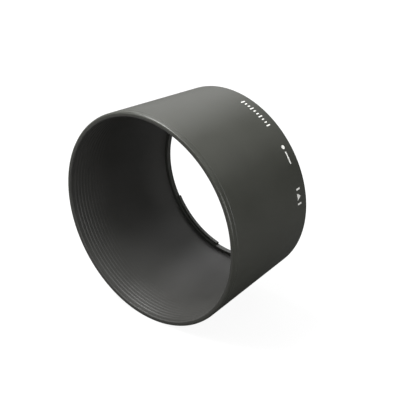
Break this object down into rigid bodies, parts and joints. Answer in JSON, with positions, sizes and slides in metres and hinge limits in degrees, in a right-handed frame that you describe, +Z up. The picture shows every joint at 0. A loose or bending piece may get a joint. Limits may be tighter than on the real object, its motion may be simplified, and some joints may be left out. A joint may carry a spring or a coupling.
{
  "type": "bayonet lens hood",
  "caption": "Tapered round lens hood with a stepped light trap inside its mouth and a lugged bayonet ring with sprung click stops at the rear.",
  "frame": {"origin": "centre of the bayonet on the plane of the hood's rear face", "axes": "+Y along the optical axis towards the camera, out of the bayonet; the front opening faces -Y; +Z up, with the hood as it sits on a level lens"},
  "size_m": [0.089, 0.0498, 0.089],
  "materials": {
    "shell_plastic": "fine spark-eroded grain, matte black",
    "ring_plastic": "smooth matte black, slightly glossier on the lugs",
    "screw_steel": "black zinc plated",
    "spring_steel": "cold-rolled spring steel",
    "mark_paint": "white marking paint"
  },
  "bodies": {
    "hood": {"hood_shell": "shell_plastic", "bayonet_ring": "ring_plastic", "ring_screws": "screw_steel", "tick_marks_inlay": "mark_paint", "lock_mark_inlay": "mark_paint", "fit_mark_inlay": "mark_paint"},
    "click_upper_leaf": {"click_spring_upper": "spring_steel"},
    "click_lower_leaf": {"click_spring_lower": "spring_steel"}
  },
  "joints": [
    {"name": "click_upper", "type": "hinge", "parent": "hood", "child": "click_upper_leaf", "pos_m": [0.02965, -0.00125, 0.02015], "axis": [0, 1, 0], "range_deg": [0, 3.73], "stiffness_Nm_per_rad": 0.5},
    {"name": "click_lower", "type": "hinge", "parent": "hood", "child": "click_lower_leaf", "pos_m": [0.00263, -0.00125, -0.03575], "axis": [0, 1, 0], "range_deg": [0, 3.73], "stiffness_Nm_per_rad": 0.5}
  ]
}
